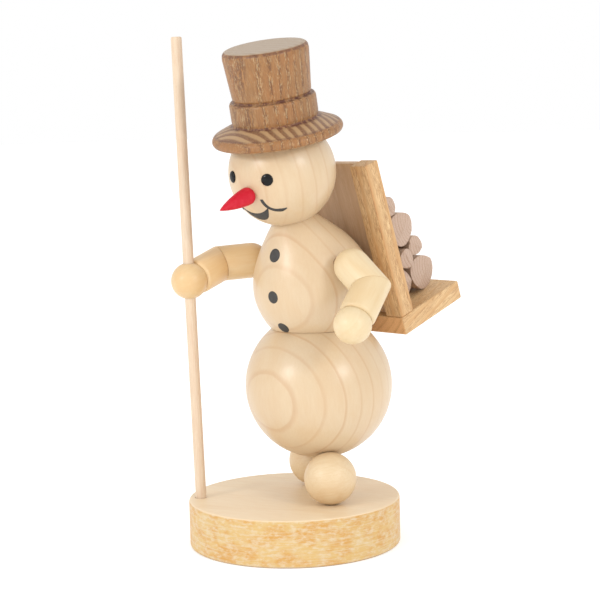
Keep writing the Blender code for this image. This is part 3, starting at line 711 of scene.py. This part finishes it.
def hat_wood(way, pith, origin):
    """Open-pored brown wood with painted shade in its corners, darker staining on its edges and pale end
    grain on the crown's top.
    """
    brown = rgb(178, 126, 70, EXPOSED)
    dark = rgb(118, 72, 40, EXPOSED)
    material = wood("hat_ash", along(way, pith), tone=brown, line=rgb(150, 104, 58, EXPOSED),
                    spacing=HAT_RINGS, waver=0.20, line_strength=0.35, line_width=0.5, fibre=0.50,
                    blotch=0.45, blotch_tone=rgb(190, 122, 58, EXPOSED), pores=0.85, pore_tone=dark,
                    pore_width=0.16, roughness=0.5, coat=0.2, relief=0.55, seed=7.0)
    graph = Graph(material)
    space = graph.grain_space(along(way, origin))
    height = graph.height(space)

    # Rings as the brim and the crown's side cut through them
    block = graph.grain_space(along(way, pith))
    sway = graph.noise(block, 0.12, 0.02, 1.0, 0.5, colour=True)
    ring = graph.math("DIVIDE", graph.off_axis(graph.swayed(block, sway, 1.8)), HAT_RINGS)
    stripe = graph.ramp(graph.math("FRACT", ring), ((0.0, 0.9), (0.30, 0.8), (0.55, 0.0), (0.85, 0.0),
                                                    (1.0, 0.9)))

    # Pale filler left in the open pores of the early wood
    flecks = graph.times(graph.noise(space, 2.6, 0.30, 3.0, 0.62), 0.55)
    flecks = graph.math("MULTIPLY_ADD", graph.noise(space, 6.0, 1.3, 2.0), 0.5, flecks)
    filler = graph.times(graph.ramp(flecks, ((0.545, 0.0), (0.61, 0.65))),
                        graph.math("MULTIPLY_ADD", stripe, 0.75, 0.18))
    colour = graph.mix(filler, graph.colour(), rgb(222, 192, 144, EXPOSED))

    # End grain on the brim and on the crown's smooth top
    grit = graph.noise(space, 3.0, 1.0)
    brim_stripe = graph.times(stripe, graph.math("MULTIPLY_ADD", grit, 1.3, 0.25), clamp=True)
    brim_tone = graph.mix(brim_stripe, rgb(200, 160, 114, EXPOSED), rgb(136, 88, 54, EXPOSED))
    crown_tone = graph.mix(graph.times(stripe, 0.20), rgb(195, 172, 145, EXPOSED), brown)
    centre_mark = graph.ramp(graph.off_axis(space), ((0.15, 0.5), (0.40, 0.0)))
    crown_tone = graph.mix(centre_mark, crown_tone, dark)
    tops = graph.mix(graph.math("GREATER_THAN", height, HAT_CROWN_FROM), brim_tone, crown_tone)
    colour = graph.mix(graph.ramp(graph.facing(way), ((0.78, 0.0), (0.90, 1.0))), colour, tops)

    # Dark bands by height, in uneven patches: painted shade in the corners where the brim meets the band and
    # the band meets the crown, and darker staining round the crown's top edge and the brim's upper rim
    patch = graph.ramp(graph.noise(space, 0.75, 0.5, 3.0, 0.65), ((0.38, 0.15), (0.58, 1.0)))
    for level, reach, strength in HAT_SHADE_AND_STAIN_BANDS:
        near = graph.math("DIVIDE", graph.math("ABSOLUTE", graph.math("SUBTRACT", height, level)), reach)
        dark_band = graph.times(graph.ramp(near, ((0.25, strength), (1.0, 0.0))), patch)
        colour = graph.mix(dark_band, colour, rgb(112, 60, 38, EXPOSED))
    graph.surface("Base Color", colour)
    return material


# Face and buttons


def looking(bearing, pitch):
    """The direction at a bearing from straight ahead and a pitch above level."""
    return Vector((
        math.sin(bearing) * math.cos(pitch),
        -math.cos(bearing) * math.cos(pitch),
        math.sin(pitch),
    ))


def face_direction(across, pitch):
    """A direction from the head's centre: degrees across the face at that pitch, and pitch."""
    level = math.radians(pitch)
    return looking(FACE_BEARING + math.radians(across) / math.cos(level), level)


def painted_patch(name, rows, body, centre, material):
    """A thin skin of paint whose rows of directions from a centre land on a body's surface."""
    tree = BVHTree.FromObject(body, bpy.context.evaluated_depsgraph_get())
    shape = bmesh.new()
    grid = []
    for row in rows:
        line = []
        for direction in row:
            place = tree.ray_cast(centre + direction * RAY_START, -direction)[0]
            line.append(shape.verts.new(place + direction * PAINT_LIFT))
        grid.append(line)
    for first, second in zip(grid, grid[1:]):
        for a, b, c, d in zip(first, first[1:], second[1:], second):
            shape.faces.new((a, b, c, d))
    bmesh.ops.remove_doubles(shape, verts=shape.verts, dist=1e-6)
    middle = sum((face.calc_center_median() for face in shape.faces), Vector()) / len(shape.faces)
    for face in shape.faces:
        if face.normal.dot(middle - centre) < 0.0:
            face.normal_flip()
    shape.normal_update()
    piece = add_piece(name, to_mesh(shape, name), material, "black_gloss")
    coat = piece.modifiers.new("skin", "SOLIDIFY")
    coat.thickness = PAINT_DEPTH
    coat.offset = -1.0


def make_mouth(head, centre, material):
    """The open smile: a filled crescent between two arcs."""
    columns = 48
    levels = 8
    rows = []
    for level in range(levels + 1):
        row = []
        for step in range(columns + 1):
            share = math.sin(math.pi / 2.0 * (2.0 * step / columns - 1.0))
            upper = -47.1 + 8.6 * share ** 2
            lower = -59.4 + 19.8 * abs(share) ** 2.2
            pitch = lower + (upper - lower) * level / levels
            row.append(face_direction(MOUTH_HALF_WIDTH * share, pitch))
        rows.append(row)
    painted_patch("painted_mouth", rows, head, centre, material)


def make_cheek_line(side, head, centre, material):
    """The smile line beside the mouth's corner, thin at its outer end."""
    path = interpolate_bezier(*(Vector(point) for point in CHEEK_PATH), 40)
    rows = [[], [], []]
    for step, point in enumerate(path):
        before = path[max(0, step - 1)]
        after = path[min(len(path) - 1, step + 1)]
        aside = Vector((before.y - after.y, after.x - before.x, 0.0)).normalized()
        share = step / (len(path) - 1)
        width = CHEEK_HALF_WIDTH * min(1.0, 0.85 + 0.9 * share, 0.25 + 3.6 * (1.0 - share))
        for row, offset in zip(rows, (-width, 0.0, width)):
            spot = point + aside * offset
            row.append(face_direction(spot.x * side, spot.y))
    name = "painted_cheek_line_left" if side > 0 else "painted_cheek_line_right"
    painted_patch(name, rows, head, centre, material)


def make_buttons(torso, centre, material):
    """Three round painted buttons down the torso's front."""
    for number, (bearing, pitch) in enumerate(BUTTONS, start=1):
        axis = looking(math.radians(bearing), math.radians(pitch))
        across = axis.cross(UP).normalized()
        upward = across.cross(axis)
        rows = []
        for ring in range(6):
            row = []
            for step in range(33):
                angle = 2.0 * math.pi * step / 32
                offset = across * math.cos(angle) + upward * math.sin(angle)
                row.append((axis + offset * math.tan(BUTTON_SIZE * ring / 5.0)).normalized())
            rows.append(row)
        painted_patch("painted_button_{}".format(number), rows, torso, centre, material)


def make_eyes():
    """Glossy black domes over the CAD pin heads."""
    enamel = paint("eye_enamel", (0.006, 0.006, 0.006, 1.0), 0.12, 0.3, gloss=0.2)
    head_centre, head_radius = node_ball("head")
    for side in ("left", "right"):
        points = node_points(side + "_eye")
        outward = (Vector(points.mean(axis=0)) - head_centre).normalized()
        heights = (points - np.array(head_centre)) @ np.array(outward)
        radius = girth(points, head_centre, outward)
        dome = (heights.max() - head_radius) * 0.6
        shank = heights.min()
        seat = head_radius - JOINT_GAP
        outline = [(0.0, shank), (EYE_SHANK, shank), (EYE_SHANK, seat), (radius, seat - 0.04 * MM)]
        steps = 12
        for step in range(1, steps):
            angle = math.pi / 2.0 * step / steps
            outline.append((radius * math.cos(angle), head_radius + dome * math.sin(angle)))
        outline.append((0.0, head_radius + dome))
        mesh = turned_mesh(side + "_eye_dome", outline, 48, along(outward, head_centre))
        add_piece(side + "_eye_dome", mesh, enamel, "black_gloss", side + "_eye")


def make_nose():
    """The carrot nose: full at the root, drawn to a soft point, with a tenon."""
    points = node_points("nose")
    head_centre, head_radius = node_ball("head")
    reach = np.linalg.norm(points - np.array(head_centre), axis=1)
    tip = Vector(points[reach.argmax()])
    back_end = points[reach < reach.min() + 1.5 * MM].mean(axis=0)
    way = (tip - Vector(back_end)).normalized()
    back = begins("nose", way) - tip.dot(way)
    radius = girth(points, tip, way)
    tenon = radius / 2.0
    root = -NOSE_LENGTH - 0.1 * MM
    outline = [(0.0, back), (tenon, back), (tenon, root - 0.4 * MM)]
    steps = 30
    for step in range(steps):
        share = step / steps
        swell = (1.0 - share ** 1.75) ** 0.88
        eased = 1.0 - 0.22 * max(0.0, 1.0 - share / 0.10) ** 2
        outline.append((radius * swell * eased, root * (1.0 - share)))
    outline.append((0.0, 0.0))
    mesh = turned_mesh("carrot_nose", outline, 56, along(way, tip))
    red = paint("nose_red", rgb(212, 10, 44, 0.80), 0.5, 0.5, rgb(222, 44, 64, 0.84), 0.3)
    add_piece("carrot_nose", mesh, red, "red_paint", "nose")


# Arms and staff


def make_hand(side, seed):
    """One hand ball; the right one is drilled for the staff."""
    centre, radius = node_ball(side + "_hand")
    low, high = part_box(side + "_hand")
    radius = min(radius, high.x - centre.x, centre.x - low.x)
    way = forearm_way(side, centre)
    mesh = turned_mesh(side + "_hand_ball", ball_profile(radius, 40), 72, along(way, centre))
    material = arm_wood(side + "_hand_maple", centre + Vector((3.0, 12.0, 0.0)) * MM, way, seed, side)
    piece = add_piece(side + "_hand_ball", mesh, material, "yellow_wood", side + "_hand")
    drill_for(piece, side + "_wrist_dowel")
    if side == "right":
        drill_for(piece, "staff", gap=JOINT_GAP)
    return centre, radius, way


def forearm_way(side, hand_centre):
    """The direction from the elbow to the hand, along the wrist dowel."""
    start, end, _ = node_stick(side + "_wrist_dowel")
    way = stick_way(side + "_wrist_dowel")
    return -way if (hand_centre - (start + end) / 2.0).dot(way) < 0.0 else way


def arm_wood(name, pith, way, seed, side):
    """Plain yellowish wood; the right arm is more golden, and its forearm a lighter copy as painted light.
    """
    tone = rgb(248, 225, 182, ARM_LIGHT)
    line = rgb(234, 196, 140, ARM_LIGHT)
    if side == "right":
        tone = rgb(243, 212, 162, 0.78)
        line = rgb(230, 180, 114, 0.78)
        # The right forearm gets a lighter copy of the right arm's wood: painted light on the arm's lit
        # front.
        if "forearm" in name:
            tone = rgb(246, 215, 166, 0.83)
            line = rgb(232, 184, 120, 0.83)
    return wood(name, along(way, pith), tone=tone, line=line, spacing=3.6, waver=0.4, line_strength=0.12,
                line_width=0.4, fibre=0.16, blotch=0.4, roughness=0.46, coat=0.2, relief=0.04, seed=seed)


def make_arm(side, seed):
    """Hand, forearm and upper arm; the sticks meet in a mitre with barely eased edges."""
    hand_centre, hand_radius, hand_way = make_hand(side, seed)
    points = node_points(side + "_forearm")
    radius = girth(points, hand_centre, hand_way)
    mitre = flat_side(side + "_forearm", -hand_way)
    plane_at = Vector(points[(points @ np.array(mitre)).argmax()])
    elbow = hand_centre + hand_way * ((plane_at - hand_centre).dot(mitre) / hand_way.dot(mitre))
    mirrored = hand_way - mitre * 2.0 * hand_way.dot(mitre)
    shoulder_way = -mirrored if mirrored.dot(hand_way) < 0.0 else mirrored
    make_forearm(side, seed + 1.0, elbow, mitre, radius, hand_centre, hand_radius, hand_way)
    make_upper_arm(side, seed + 2.0, elbow, mitre, radius, shoulder_way)


def make_forearm(side, seed, elbow, mitre, radius, hand_centre, hand_radius, hand_way):
    """The forearm stick, cupped for the hand and sawn to the mitre."""
    name = side + "_forearm_stick"
    end = (hand_centre - elbow).length - WRIST_SETBACK
    corners = [(0.0, -radius * 2.0), (radius, -radius * 2.0), (radius, end), (0.0, end)]
    mesh = turned_mesh(name, rounded(corners, FOREARM_ROUNDING, 6), 72, along(hand_way, elbow))
    slice_off(mesh, elbow - mitre * ELBOW_GAP, mitre)
    ease_rim(mesh, mitre)
    pith = elbow + Vector((4.0, 11.0, -3.0)) * MM
    material = arm_wood(side + "_forearm_maple", pith, hand_way, seed, side)
    piece = add_piece(name, mesh, material, "yellow_wood", side + "_forearm")
    cup_for(piece, hand_centre, hand_radius + HAND_GAP, hand_way, 36, 80)
    drill_for(piece, side + "_wrist_dowel")


def make_upper_arm(side, seed, elbow, mitre, radius, shoulder_way):
    """The upper arm stick, round at the shoulder, seated on the torso and sawn to the mitre."""
    name = side + "_upper_arm_stick"
    reach = -begins(side + "_upper_arm", shoulder_way) + elbow.dot(shoulder_way) - radius
    shoulder = elbow - shoulder_way * max(reach, ARM_MIN_LENGTH)
    outline = [(0.0, -radius)]
    for step in range(1, 13):
        angle = math.pi / 2.0 * (1.0 - step / 12.0)
        outline.append((radius * math.cos(angle), -radius * math.sin(angle)))
    length = (elbow - shoulder).length + radius * 2.0
    outline += [(radius, length), (0.0, length)]
    mesh = turned_mesh(name, outline, 72, along(shoulder_way, shoulder))
    slice_off(mesh, elbow - mitre * ELBOW_GAP, -mitre)
    ease_rim(mesh, -mitre)
    pith = elbow + Vector((5.0, 9.0, 4.0)) * MM
    material = arm_wood(side + "_upper_arm_maple", pith, shoulder_way, seed, side)
    piece = add_piece(name, mesh, material, "yellow_wood", side + "_upper_arm")
    carve(piece, torso_egg("seat", JOINT_GAP)[0])
    drill_for(piece, side + "_shoulder_dowel", gap=JOINT_GAP)


def ease_rim(mesh, normal):
    """Sand the rim of the sawn face that looks along a normal."""
    shape = bmesh.new()
    shape.from_mesh(mesh)
    shape.normal_update()
    face = max((f for f in shape.faces if f.normal.dot(normal) > 0.999), key=lambda f: f.calc_area())
    bmesh.ops.bevel(shape, geom=list(face.edges), offset=RIM_EASE, segments=3, profile=0.5, affect="EDGES")
    shape.to_mesh(mesh)
    shape.free()


def set_material(node, material):
    """Assign a material to a CAD node."""
    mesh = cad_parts[node].data
    mesh.materials.clear()
    mesh.materials.append(material)


def finish_staff():
    """Straight pinkish grain on the staff."""
    grain = along(stick_way("staff"), node_stick("staff")[0] + Vector((6.0, 9.0, 0.0)) * MM)
    beech = wood("staff_beech", grain, tone=rgb(247, 226, 198, 0.74), line=rgb(226, 184, 148, 0.74),
                 spacing=0.9, waver=0.2, line_strength=0.35, fibre=0.4, blotch=0.15, roughness=0.55,
                 relief=0.12, seed=14.0)
    set_material("staff", beech)


# Carrier and logs


def carrier_axes():
    """The rails' direction and the shelf's direction to the back."""
    backward = flat_side("carrier_panel", Vector((0.0, 1.0, 0.0)))
    return Vector((1.0, 0.0, 0.0)).cross(backward), backward


def make_board(node, name, material, rounding, slot, down=0.0, aside=0.0):
    """A sawn board in the carrier's tilted frame, with eased edges, grown over its glue lines."""
    upward, backward = carrier_axes()
    turn = Matrix((Vector((1.0, 0.0, 0.0)), backward, upward)).transposed()
    local = node_points(node) @ np.array(turn)
    low = Vector(local.min(axis=0)) - Vector((aside, 0.0, down))
    high = Vector(local.max(axis=0)) + Vector((aside, 0.0, 0.0))
    shape = bmesh.new()
    bmesh.ops.create_cube(shape, size=1.0)
    bmesh.ops.scale(shape, vec=high - low, verts=shape.verts)
    bmesh.ops.translate(shape, vec=(high + low) / 2.0, verts=shape.verts)
    bmesh.ops.bevel(shape, geom=shape.edges, offset=rounding, segments=4, profile=0.5, affect="EDGES")
    bmesh.ops.transform(shape, matrix=turn.to_4x4(), verts=shape.verts)
    bmesh.ops.recalc_face_normals(shape, faces=shape.faces)
    return add_piece(name, to_mesh(shape, name), material, slot, node)


def carrier_wood(name, way, pith, seed, **changes):
    """Golden brown sawn wood with fine open pores."""
    settings = dict(
        tone=rgb(238, 204, 152, SHADED), line=rgb(202, 148, 90, SHADED), spacing=2.2, waver=0.4,
        line_strength=0.65, line_width=0.5, fibre=0.55, blotch=0.25, pores=0.65, pore_scale=1.4,
        pore_tone=rgb(158, 100, 50, SHADED), pore_width=0.35, roughness=0.55, relief=0.30, seed=seed,
    )
    settings.update(changes)
    return wood(name, along(way, pith), **settings)


def make_carrier():
    """Shelf, rails and panel."""
    upward, backward = carrier_axes()
    low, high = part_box("shelf")
    pith = (low + high) / 2.0 + (upward * 3.0 - Vector((1.0, 0.0, 0.0))) * 6.0 * MM
    shelf_wood = carrier_wood("shelf_oak", backward + upward * 0.2, pith, 20.0, spacing=1.7, pores=0.5,
                              fibre=0.4, line_strength=0.45, end_tone=rgb(244, 192, 134, SHADED))
    shelf = make_board("shelf", "shelf_board", shelf_wood, 0.40 * MM, "carrier_wood")
    for side, seed in (("left", 21.0), ("right", 22.0)):
        low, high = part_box(side + "_rail")
        pith = (low + high) / 2.0 + Vector((14.0, 8.0, 0.0)) * MM
        oak = carrier_wood(side + "_rail_oak", upward, pith, seed)
        rail = make_board(side + "_rail", side + "_rail_post", oak, 0.25 * MM, "carrier_wood", GLUE_LINE)
        drill_for(rail, side + "_rail_pin")
        drill_for(shelf, side + "_rail_pin")
    low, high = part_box("carrier_panel")
    pith = (low + high) / 2.0 + Vector((20.0, 30.0, 0.0)) * MM
    ply = carrier_wood("panel_ply", upward, pith, 23.0, tone=rgb(214, 184, 150), line=rgb(184, 146, 108),
                       pore_tone=rgb(166, 124, 86), pores=0.2, fibre=0.3, line_strength=0.3)
    panel = make_board("carrier_panel", "carrier_panel_board", ply, 0.10 * MM, "panel_wood", GLUE_LINE,
                       GLUE_LINE)
    drill_for(panel, "carrier_dowel")


def log_point(number, where, share, angle, radius, half):
    """A point of a log: where runs from -1 to 1 along it, share from 0 at its core to 1 at its bark."""
    ridge_turn = FIRST_RIDGE_TURN + RIDGE_TURN_STEP * (number - 1)
    slope = math.tan(LOG_END_SLOPE)
    lump = noise.noise(Vector((where * 2.0 + number * 9.0, math.cos(angle), math.sin(angle))) * 1.3)
    reach_aside = radius * share * (1.0 - 0.02 * abs(lump))
    spot = Vector((0.0, math.cos(angle), math.sin(angle))) * reach_aside
    if abs(where) < 1.0:
        dip = abs(radius * math.cos(angle - ridge_turn)) * slope + 0.3 * MM
    else:
        off_ridge = abs(spot.y * math.cos(ridge_turn) + spot.z * math.sin(ridge_turn))
        rough = noise.noise(Vector((number * 5.0 + where * 7.0, spot.y / MM * 1.4, spot.z / MM * 1.4)))
        dip = off_ridge * slope + (0.12 + 0.10 * rough) * MM * min(1.0, off_ridge / (0.3 * MM))
        if share == 1.0:
            dip += 0.12 * MM
    return Vector((where * (half - dip), spot.y, spot.z))


def make_log(number):
    """A nipped-off stick: slightly uneven round, each end crushed to a rough ridge."""
    node = "log_{:02d}".format(number)
    low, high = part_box(node)
    middle = (low + high) / 2.0
    radius = max(high.y - low.y, high.z - low.z) / 2.0 - LOG_INSET
    half = (high.x - low.x) / 2.0
    segments = 40
    end_rings = 9
    length_rings = 12
    stations = [(-1.0, step / end_rings) for step in range(end_rings + 1)]
    stations += [(-1.0 + 2.0 * step / length_rings, 1.0) for step in range(1, length_rings)]
    stations += [(1.0, step / end_rings) for step in range(end_rings, -1, -1)]
    shape = bmesh.new()
    rings = []
    for where, share in stations:
        ring = []
        for step in range(segments if share > 0.0 else 1):
            point = log_point(number, where, share, 2.0 * math.pi * step / segments, radius, half)
            ring.append(shape.verts.new(middle + point))
        rings.append(ring)
    skin(shape, rings)
    bmesh.ops.recalc_face_normals(shape, faces=shape.faces)
    grain = along(Vector((1.0, 0.0, 0.0)), middle + Vector((0.0, 3.0 + number % 3, 2.0)) * MM)
    raw = wood(node + "_birch", grain, tone=rgb(234, 206, 178, EXPOSED), line=rgb(186, 146, 118, EXPOSED),
               spacing=0.8, waver=0.3, line_strength=0.35, fibre=0.6, blotch=0.3, pores=0.4,
               pore_tone=rgb(160, 112, 90, EXPOSED), seed=30.0 + number, roughness=0.7, relief=0.5,
               end_tone=rgb(228, 200, 178, EXPOSED))
    add_piece("cut_" + node, to_mesh(shape, "cut_" + node), raw, "log_wood", node)


def finish_dowels():
    """One plain wood for every hidden dowel and pin."""
    grain = along(UP, Vector((50.0, 70.0, 0.0)) * MM)
    plain = wood("dowel_birch", grain, tone=rgb(228, 196, 156, EXPOSED), line=rgb(196, 154, 110, EXPOSED),
                 spacing=1.2, line_strength=0.3, fibre=0.3, roughness=0.6, seed=40.0)
    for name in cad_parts:
        if name.endswith(("_dowel", "_pin")):
            set_material(name, plain)


# Studio


def make_floor():
    """A wide pale floor."""
    shape = bmesh.new()
    bmesh.ops.create_grid(shape, x_segments=1, y_segments=1, size=FLOOR_SIZE)
    mesh = to_mesh(shape, "floor")
    floor = bpy.data.objects.new("floor", mesh)
    bpy.context.scene.collection.objects.link(floor)
    graph = Graph("studio_white")
    graph.surface("Base Color", (0.93, 0.93, 0.93, 1.0))
    graph.surface("Roughness", 0.9)
    graph.surface("Specular IOR Level", 0.1)
    graph.surface("Emission Color", (1.0, 1.0, 1.0, 1.0))
    graph.surface("Emission Strength", FLOOR_GLOW)
    mesh.materials.append(graph.material)


def make_world():
    """An even white surround."""
    world = bpy.data.worlds.new("white_studio")
    world.use_nodes = True
    background = world.node_tree.nodes["Background"]
    background.inputs["Color"].default_value = (1.0, 1.0, 1.0, 1.0)
    background.inputs["Strength"].default_value = 1.0
    bpy.context.scene.world = world
    bpy.context.scene.view_settings.view_transform = "Standard"


def view_axes():
    """The camera's right, up and backward directions."""
    right = Vector((math.cos(VIEW_BEARING), math.sin(VIEW_BEARING), 0.0))
    back = Vector((
        math.sin(VIEW_BEARING) * math.cos(VIEW_RISE),
        -math.cos(VIEW_BEARING) * math.cos(VIEW_RISE),
        math.sin(VIEW_RISE),
    ))
    return right, back.cross(right), back


def make_softbox(name, sideways, rise, size, power):
    """A square softbox, placed by its degrees beside the camera's line and above level."""
    right, _, back = view_axes()
    level = Vector((back.x, back.y, 0.0)).normalized()
    sideways = math.radians(sideways)
    rise = math.radians(rise)
    direction = level * math.cos(sideways) + right * math.sin(sideways)
    direction = direction * math.cos(rise) + UP * math.sin(rise)
    data = bpy.data.lights.new(name, "AREA")
    data.shape = "SQUARE"
    data.size = size
    data.energy = power
    light = bpy.data.objects.new(name, data)
    bpy.context.scene.collection.objects.link(light)
    light.matrix_world = along(direction, UP * SOFTBOX_AIM_HEIGHT + direction * SOFTBOX_DISTANCE)


def make_camera():
    """The camera at the snowman's front left, with a slight roll."""
    right, up, back = view_axes()
    target = right * VIEW_AIM_RIGHT + UP * VIEW_AIM_UP
    turned_right = right * math.cos(VIEW_ROLL) + up * math.sin(VIEW_ROLL)
    turned_up = up * math.cos(VIEW_ROLL) - right * math.sin(VIEW_ROLL)
    placement = Matrix((turned_right, turned_up, back)).transposed().to_4x4()
    placement.translation = target + back * VIEW_DISTANCE
    data = bpy.data.cameras.new("camera")
    data.sensor_width = SENSOR_WIDTH_MM
    data.lens = LENS_MM
    data.clip_start = CLIP_START
    camera = bpy.data.objects.new("camera", data)
    bpy.context.scene.collection.objects.link(camera)
    camera.matrix_world = placement
    bpy.context.scene.camera = camera


make_base()
make_belly()
torso, torso_centre = make_torso()
head, head_centre = make_head()
make_feet()
make_hat()
make_eyes()
make_nose()
dark = paint("dark_paint", rgb(62, 59, 56, EXPOSED), 0.6, 0.5)
make_mouth(head, head_centre, dark)
for cheek in (1.0, -1.0):
    make_cheek_line(cheek, head, head_centre, dark)
make_buttons(torso, torso_centre, dark)
make_arm("left", 8.0)
make_arm("right", 11.0)
finish_staff()
make_carrier()
for log_number in range(1, 10):
    make_log(log_number)
finish_dowels()
make_floor()
make_world()
make_softbox("softbox_left", -51.0, 22.0, 0.20, 1.8)
make_softbox("softbox_right", 42.0, 23.0, 0.14, 1.4)
make_camera()
